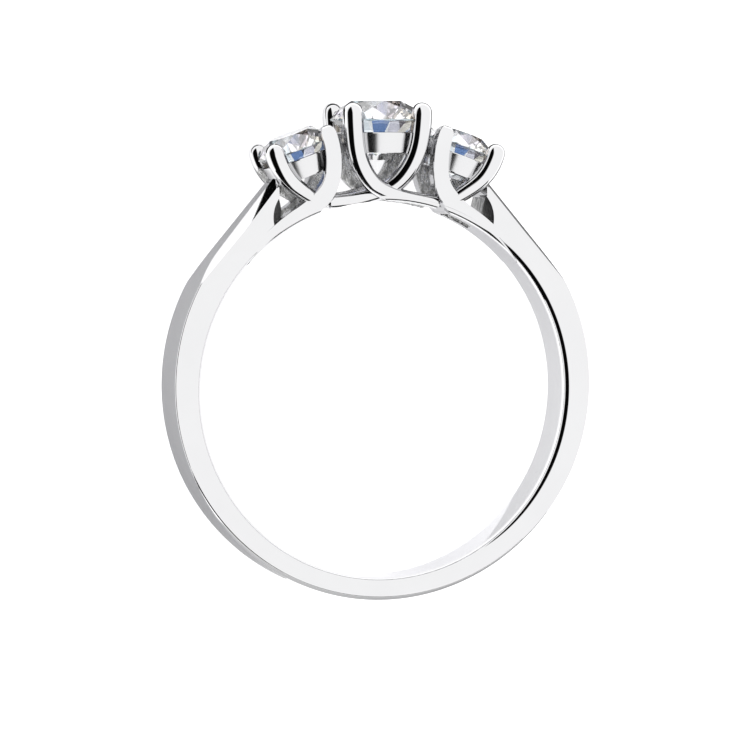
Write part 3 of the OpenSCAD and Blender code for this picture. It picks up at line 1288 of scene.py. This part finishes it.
    def _skin_and_shade(self, p: Vector, n: Vector) -> float:
        """How far a spot keeps its cast skin, or whether it gets painted shade.

        Args:
            p: The spot in the ring's own frame.
            n: The way its surface faces.

        Returns:
            A skin's value, or one between polished and as cast where the one fades into the other.
        """
        zone = self.cast
        top = zone.top_line(abs(p.x)) + zone.fade_up
        inside = abs(p.x) <= zone.end and zone.low < p.y < top
        if not inside or math.hypot(p.x, p.y) < self.plan.bore_r + zone.bore_gap:
            return SkinAndShade.POLISHED.value
        # The floor of a shoulder's scoop gets painted shade.
        if zone.on_leaf(p, n):
            return SkinAndShade.HOLLOW.value
        if zone.on_wall(p, n):
            return SkinAndShade.AS_CAST.value
        on_stub = all(abs(d) < half + NEAR for d, half in zip(p - Vector(self.stub_at), self.stub))
        if abs(p.z) < zone.plain_half or on_stub or self._on_collet(p, n):
            return SkinAndShade.POLISHED.value
        facing_middle = -n.z if p.z > 0 else n.z
        turned = clamp((facing_middle - zone.turn_from) / zone.turn_over)
        return zone.strength * clamp((top - p.y) / zone.fade_over) * turned

    def _on_collet(self, p: Vector, n: Vector) -> bool:
        """Whether a spot that faces a given way lies on one of the collets, in the ring's own frame."""
        return any(collet.holds(p, n) for collet in self.collets)


# The stones


@dataclass
class Brilliant:
    """A round brilliant diamond, ground from a short rod by one flat cut for each facet.

    The facing values are the cosines that tell the table, the stars and the girdle from the other facets, and
    the facets' colours of painted light, their fire and reflections, follow each other in steps of degrees
    round the stone.
    """

    name: str
    node_name: str
    r: float
    stand: Matrix
    cut: BrilliantCut = CUT
    girdle_sides: int = 96
    spare: float = 0.4
    touch: float = 1e-5
    # Colours of painted light for each facet: its fire and its bright and dark reflections.
    table_painted_light: str = "#EDE8F1"
    star_painted_light: tuple[str, ...] = ("#DCEBF1", "#F4F8FA", "#6A5F58")
    crown_painted_light: tuple[str, ...] = (
        "#CBC4D6",
        "#FFFFFF",
        "#FFFFFF",
        "#FFF1D8",
        "#FFFFFF",
        "#D4E8EF",
        "#FFFFFF",
        "#FFFFFF",
    )
    girdle_painted_light: str = "#D3E6EE"
    pavilion_painted_light: tuple[str, ...] = (
        "#E8F2F8",
        "#FFFFFF",
        "#2F4F95",
        "#FFFFFF",
        "#CBC6D6",
        "#FFFFFF",
        "#F9EDD6",
    )
    table_facing: float = 0.99
    star_facing: float = 0.85
    girdle_facing: float = 0.1
    painted_light_step: float = 11.25

    def build(self) -> bpy.types.Object:
        """Cuts the stone facet by facet.

        Returns:
            The stone, lying in the row's frame.
        """
        r, cut = self.r, self.cut
        low = (cut.crown + cut.girdle) * r
        length = low + cut.pavilion * r + self.spare
        bpy.ops.mesh.primitive_cylinder_add(
            vertices=self.girdle_sides, radius=r, depth=length, location=(0, 0, -length / 2)
        )
        stone = fresh(self.name)
        bpy.ops.object.transform_apply(location=True, rotation=False, scale=False)
        with editing(stone, Part.FACES):
            for a, b, c in self.facets():
                out = (b - a).cross(c - a).normalized()
                if out.dot(a - Vector((0, 0, -low))) < 0:
                    out.negate()
                bpy.ops.mesh.select_all(action="SELECT")
                bpy.ops.mesh.bisect(
                    plane_co=a, plane_no=out, use_fill=True, clear_outer=True, threshold=self.touch
                )
            face_out(MERGE)
        only(stone)
        bpy.ops.object.shade_flat()
        self._paint_facet_light(stone)
        return place(stone, PLAN.rest() @ self.stand)

    def _paint_facet_light(self, stone: bpy.types.Object) -> None:
        """Paints each facet with its colour of light: its fire and its bright and dark reflections."""
        painted_light = stone.data.attributes.new(CutDiamond.painted_light, "FLOAT_COLOR", "FACE")
        for face in stone.data.polygons:
            painted_light.data[face.index].color = linear(self._facet_painted_light(face.normal))

    def _facet_painted_light(self, normal: Vector) -> str:
        """The painted light that colours a facet: its fire and its reflections.

        Args:
            normal: The way the facet faces, in the stone's own frame.

        Returns:
            Its colour.
        """
        if normal.z > self.table_facing:
            return self.table_painted_light
        if abs(normal.z) < self.girdle_facing:
            return self.girdle_painted_light
        facet_lights = self.crown_painted_light if normal.z > 0 else self.pavilion_painted_light
        if normal.z > self.star_facing:
            facet_lights = self.star_painted_light
        step = round(math.degrees(math.atan2(normal.y, normal.x)) % 360 / self.painted_light_step)
        return facet_lights[step % len(facet_lights)]

    def facets(self) -> list[tuple[Vector, Vector, Vector]]:
        """Three points of each facet's plane: stars, kites, upper and lower girdle facets, and mains."""
        r, cut = self.r, self.cut
        half = math.pi / cut.folds
        top, belt = -cut.crown * r, -(cut.crown + cut.girdle) * r
        culet = Vector((0, 0, belt - cut.pavilion * r))
        star_z = top * (cut.star * math.cos(half) - cut.table) / (1 - cut.table)
        reach_z = culet.z + cut.pavilion * r * cut.reach * math.cos(half)

        def at(radius: float, angle: float, z: float) -> Vector:
            """A point at a radius, an angle and a height."""
            return Vector((radius * math.cos(angle), radius * math.sin(angle), z))

        made = []
        for k in range(cut.folds):
            main = 2 * k * half
            table, nxt = at(cut.table * r, main, 0), at(cut.table * r, main + 2 * half, 0)
            star, last = at(cut.star * r, main + half, star_z), at(cut.star * r, main - half, star_z)
            made.append((table, nxt, star))
            made.append((table, star, at(r, main, top)))
            made.append((star, at(r, main, top), at(r, main + half, top)))
            made.append((last, at(r, main, top), at(r, main - half, top)))
            low, low_last = at(cut.reach * r, main + half, reach_z), at(cut.reach * r, main - half, reach_z)
            made.append((culet, low, at(r, main, belt)))
            made.append((low, at(r, main, belt), at(r, main + half, belt)))
            made.append((low_last, at(r, main, belt), at(r, main - half, belt)))
        return made


# The studio


class Strip(NamedTuple):
    """A strip along the band's outer line, in millimetres outside that line and degrees along it."""

    low: float
    high: float
    start: float
    end: float
    tapered: bool = False


@dataclass
class Studio:
    """White paper under the ring, even white light all round, and cards and sheets out of the camera's sight.
    The sheets are painted shade, and one glowing sheet a painted highlight, that only the metal's reflections
    show.

    The sizes of the floor and the cards are in metres, and those of the sheets in millimetres. The left card
    is a part of a tube round the Y axis, with its angles and its soft edges in degrees.
    """

    floor_m: float = 3.0
    light: float = 1.2
    card_m: float = 0.15
    card_from: float = -0.4
    card_to: float = 0.24
    card_full: float = 0.02
    card_tip: float = 0.25
    card_low: float = -76.0
    card_high: float = -12.0
    card_steps: int = 12
    soft: float = 7.0
    foot_card_m: tuple[float, float] = (0.5, 0.1)
    foot_card_at: tuple[float, float, float] = (0.0, -0.2, 0.055)
    sheet_lift: float = 0.05
    strip_steps: int = 32
    # Strips of painted shade along the band's outside and beyond its foot, and a glowing strip of painted
    # highlight inside the finger hole.
    left_strip: Strip = Strip(low=-0.19, high=0.81, start=118, end=246)
    foot_strip: Strip = Strip(low=2.2, high=6.0, start=215, end=325)
    bore_strip: Strip = Strip(low=-2.2, high=-0.9, start=235, end=336, tapered=True)
    # Outlines of sheets of painted shade: black at the left shoulder's corner, dark round the head and grey
    # along the right side.
    corner: tuple[tuple[float, float], ...] = (
        (-4.5, 10.4),
        (-6.7, 9.7),
        (-9.6, 8.4),
        (-13.0, 9.3),
        (-12.0, 13.5),
        (-4.5, 13.5),
    )
    head_shade_outline: tuple[tuple[float, float], ...] = (
        (-4.1, 10.6),
        (-2.5, 11.4),
        (2.5, 11.4),
        (3.6, 10.3),
        (5.4, 8.9),
        (9.5, 11.0),
        (4.0, 15.0),
        (-4.1, 15.0),
    )
    side: tuple[tuple[float, float], ...] = (
        (5.4, 8.9),
        (4.9, 7.6),
        (7.4, 4.5),
        (8.7, 2.2),
        (9.3, 0.3),
        (9.48, -1.5),
        (9.3, -3.3),
        (8.5, -5.5),
        (11.5, -7.5),
        (13.0, -1.5),
        (12.6, 5.0),
        (9.5, 11.0),
    )

    def build(self) -> None:
        """Sets the floor, the light, the cards and the sheets."""
        bpy.ops.mesh.primitive_plane_add(size=self.floor_m)
        floor = fresh("studio_floor")
        floor.data.materials.append(MattePaper().build())
        world = bpy.data.worlds.new("studio_light")
        world.use_nodes = True
        sky = world.node_tree.nodes["Background"]
        feed(world.node_tree, sky, {"Strength": self.light, "Color": linear("#FFFFFF")})
        bpy.context.scene.world = world
        self.left_card("left_card")
        # Sheets that only the metal's reflections show: painted shade where the floor round the ring reflects
        # in the metal, and a glowing painted highlight in the finger hole.
        for name, corners, shade, glow in (
            ("corner_painted_shade", self.corner, "#060606", 0.0),
            ("left_painted_shade", self.crescent(self.left_strip), "#FFFFFF", 0.0),
            ("head_painted_shade", self.head_shade_outline, "#3C3C3C", 0.0),
            ("side_painted_shade", self.side, "#A0A0A0", 0.0),
            ("foot_painted_shade", self.crescent(self.foot_strip), "#D2D2D2", 0.0),
            ("bore_painted_highlight", self.crescent(self.bore_strip), "#FFFFFF", 1.0),
        ):
            self.lay_painted_sheet(corners, MatteCard(name, shade, glow))
        self.foot_card(MatteCard("foot_card", "#202020"))
        bpy.context.scene.view_settings.view_transform = "Standard"

    def left_card(self, name: str) -> None:
        """Stands a curved black card at the left, which only shows in reflections.

        Args:
            name: The name of the card and of its material.
        """
        low, high, steps = self.card_low, self.card_high, self.card_steps
        angles = [math.radians(low + (high - low) * k / steps) for k in range(steps + 1)]
        points = [Vector((math.sin(a), 0, math.cos(a))) * self.card_m for a in angles]
        card = trace(name, [p + Vector((0, self.card_from, 0)) for p in points])
        bpy.ops.mesh.select_all(action="SELECT")
        length = self.card_to - self.card_from
        bpy.ops.mesh.extrude_region_move(TRANSFORM_OT_translate={"value": (0, length, 0)})
        bpy.ops.object.mode_set(mode="OBJECT")
        self._fade(MatteCard(name, "#050505").build())
        self._keep_unseen(card, ("camera", "diffuse", "shadow"))

    def foot_card(self, finish: MatteCard) -> None:
        """Stands a dark card beyond the band's foot, which only shows in reflections.

        Args:
            finish: The card's finish, which also names it.
        """
        bpy.ops.mesh.primitive_plane_add(size=1.0)
        card = fresh(finish.name)
        size = Matrix.Diagonal((*self.foot_card_m, 1.0, 1.0))
        place(card, Matrix.Translation(self.foot_card_at) @ Matrix.Rotation(math.pi / 2, 4, "X") @ size)
        finish.build()
        self._keep_unseen(card)

    def lay_painted_sheet(self, corners: Sequence[tuple[float, float]], finish: MatteCard) -> None:
        """Lays a sheet of painted shade on the paper, or with a glow a sheet of painted highlight, that only
        shows in reflections.

        Args:
            corners: Its corners on the floor, in millimetres.
            finish: The sheet's finish, which also names it.
        """
        sheet = trace(finish.name, [Vector((x, y, self.sheet_lift)) for x, y in corners])
        bpy.ops.mesh.select_all(action="SELECT")
        bpy.ops.mesh.edge_face_add()
        bpy.ops.object.mode_set(mode="OBJECT")
        place(sheet, Matrix.Scale(MM, 4))
        finish.build()
        self._keep_unseen(sheet)

    @staticmethod
    def _keep_unseen(card: bpy.types.Object, sights: Sequence[str] = UNSEEN) -> None:
        """Gives a card the material of its own name and leaves it to the metal's reflections.

        Args:
            card: The card or sheet.
            sights: The kinds of ray that pass it by.
        """
        card.data.materials.append(bpy.data.materials[card.name])
        for sight in sights:
            setattr(card, f"visible_{sight}", False)

    def _fade(self, links: Links) -> None:
        """Makes the left card fade out towards its two long edges, and narrower towards its far end.

        Args:
            links: The card's material.
        """
        tree, shader, coords = links
        axes = node(tree, "ShaderNodeSeparateXYZ", {"Vector": coords.outputs["Object"]}).outputs
        turn = node(tree, "ShaderNodeMath", {0: axes["X"], 1: axes["Z"]}, operation="ARCTAN2")
        angle = turn.outputs["Value"]
        middle = math.radians((self.card_low + self.card_high) / 2)
        half = math.radians((self.card_high - self.card_low) / 2)
        off = node(tree, "ShaderNodeMath", {0: angle, 1: middle}, operation="SUBTRACT").outputs["Value"]
        off = node(tree, "ShaderNodeMath", {0: off}, operation="ABSOLUTE").outputs["Value"]
        width = {"From Min": self.card_full, "From Max": self.card_to, "To Min": 1.0, "To Max": self.card_tip}
        narrow = node(tree, "ShaderNodeMapRange", {"Value": axes["Y"], **width}).outputs["Result"]
        off = node(tree, "ShaderNodeMath", {0: off, 1: narrow}, operation="DIVIDE").outputs["Value"]
        edge = {"From Min": half, "From Max": half - math.radians(self.soft)}
        solid = node(tree, "ShaderNodeMapRange", {"Value": off, **edge}).outputs["Result"]
        feed(tree, shader, {"Alpha": solid})

    def crescent(self, strip: Strip) -> list[tuple[float, float]]:
        """The corners of a strip of paper along the band's outer line, in millimetres on the floor.

        Args:
            strip: Where it runs. The inner edge of a tapered one meets the outer edge at its end.

        Returns:
            The corners, in order.
        """
        middle = PLAN.outer_rise + PLAN.rest().translation.y / MM
        straight = math.pi - Band().leave_angle()
        inner, outer = [], []
        for k in range(self.strip_steps + 1):
            share = k / self.strip_steps
            a = math.radians(strip.start + (strip.end - strip.start) * share)
            r = PLAN.outer_r / math.cos(max(straight - a, 0.0))
            taper = max(2 * share - 1, 0.0) if strip.tapered else 0.0
            near, far = r + strip.low + (strip.high - strip.low) * taper, r + strip.high
            inner.append((near * math.cos(a), middle + near * math.sin(a)))
            outer.append((far * math.cos(a), middle + far * math.sin(a)))
        return [*inner, *reversed(outer)]


@dataclass
class PhotoCamera:
    """The camera at the photograph's angle to the ring, fitted to the band's near and far edges.

    The middle is where the middle of the finger hole lies in the photograph, in pixels from its top left.
    """

    plan: RingPlan = PLAN
    distance_mm: float = 200.0
    px_per_mm: float = 22.86
    azimuth: float = 16.341
    rise: float = 3.002
    middle_px: tuple[float, float] = (376.93, 388.69)
    clip_m: tuple[float, float] = (0.01, 10.0)

    def build(self) -> None:
        """Adds the camera and makes it the scene's."""
        theta, eps = math.radians(self.azimuth), math.radians(self.rise)
        right = Vector((math.cos(theta), 0, math.sin(theta)))
        back = Vector((-math.sin(theta) * math.cos(eps), math.sin(eps), math.cos(theta) * math.cos(eps)))
        up = back.cross(right)
        own = frame_at(back * self.distance_mm, right, up, back)
        lay = self.plan.rest() @ own
        turn = (lay.to_3x3() * (1 / MM)).to_4x4()
        bpy.ops.object.camera_add()
        camera = fresh("photo_camera")
        camera.matrix_world = Matrix.Translation(lay.translation) @ turn
        focal_px = self.px_per_mm * self.distance_mm
        camera.data.sensor_width = SENSOR_MM
        camera.data.lens = focal_px * SENSOR_MM / PHOTO_SIDE
        camera.data.shift_x = (PHOTO_SIDE / 2 - self.middle_px[0]) / PHOTO_SIDE
        camera.data.shift_y = (self.middle_px[1] - PHOTO_SIDE / 2) / PHOTO_SIDE
        camera.data.clip_start, camera.data.clip_end = self.clip_m
        bpy.context.scene.camera = camera


def dress(piece: bpy.types.Object, material: bpy.types.Material, node_name: str) -> None:
    """Gives a piece its material and its place in the frame, and reports it.

    Args:
        piece: The finished piece.
        material: Its finish.
        node_name: The CAD node that it stands for.
    """
    piece.data.materials.clear()
    piece.data.materials.append(material)
    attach(piece, "root")
    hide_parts(node_name)
    LOG.info("%s: %d faces, %s", piece.name, len(piece.data.polygons), material.name)


def write_sizes() -> None:
    """Brings the scene's matrices up to date."""
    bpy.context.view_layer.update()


def main() -> None:
    """Builds the ring, its stones, the studio and the camera."""
    logging.basicConfig(level=logging.INFO, format="%(name)s %(message)s", stream=sys.stdout)
    PhotoCamera().build()
    Studio().build()
    dress(RingMetal().build(), PolishedWhiteGold().build(), "ring_mount")
    diamond = CutDiamond().build()
    for stone in (
        Brilliant("centre_brilliant", "centre_diamond", PLAN.centre_r, PLAN.centre_stone()),
        Brilliant("right_brilliant", "right_diamond", PLAN.side_r, PLAN.side_stone(True)),
        Brilliant("left_brilliant", "left_diamond", PLAN.side_r, PLAN.side_stone(False)),
    ):
        dress(stone.build(), diamond, stone.node_name)
    write_sizes()


if __name__ == "__main__":
    main()
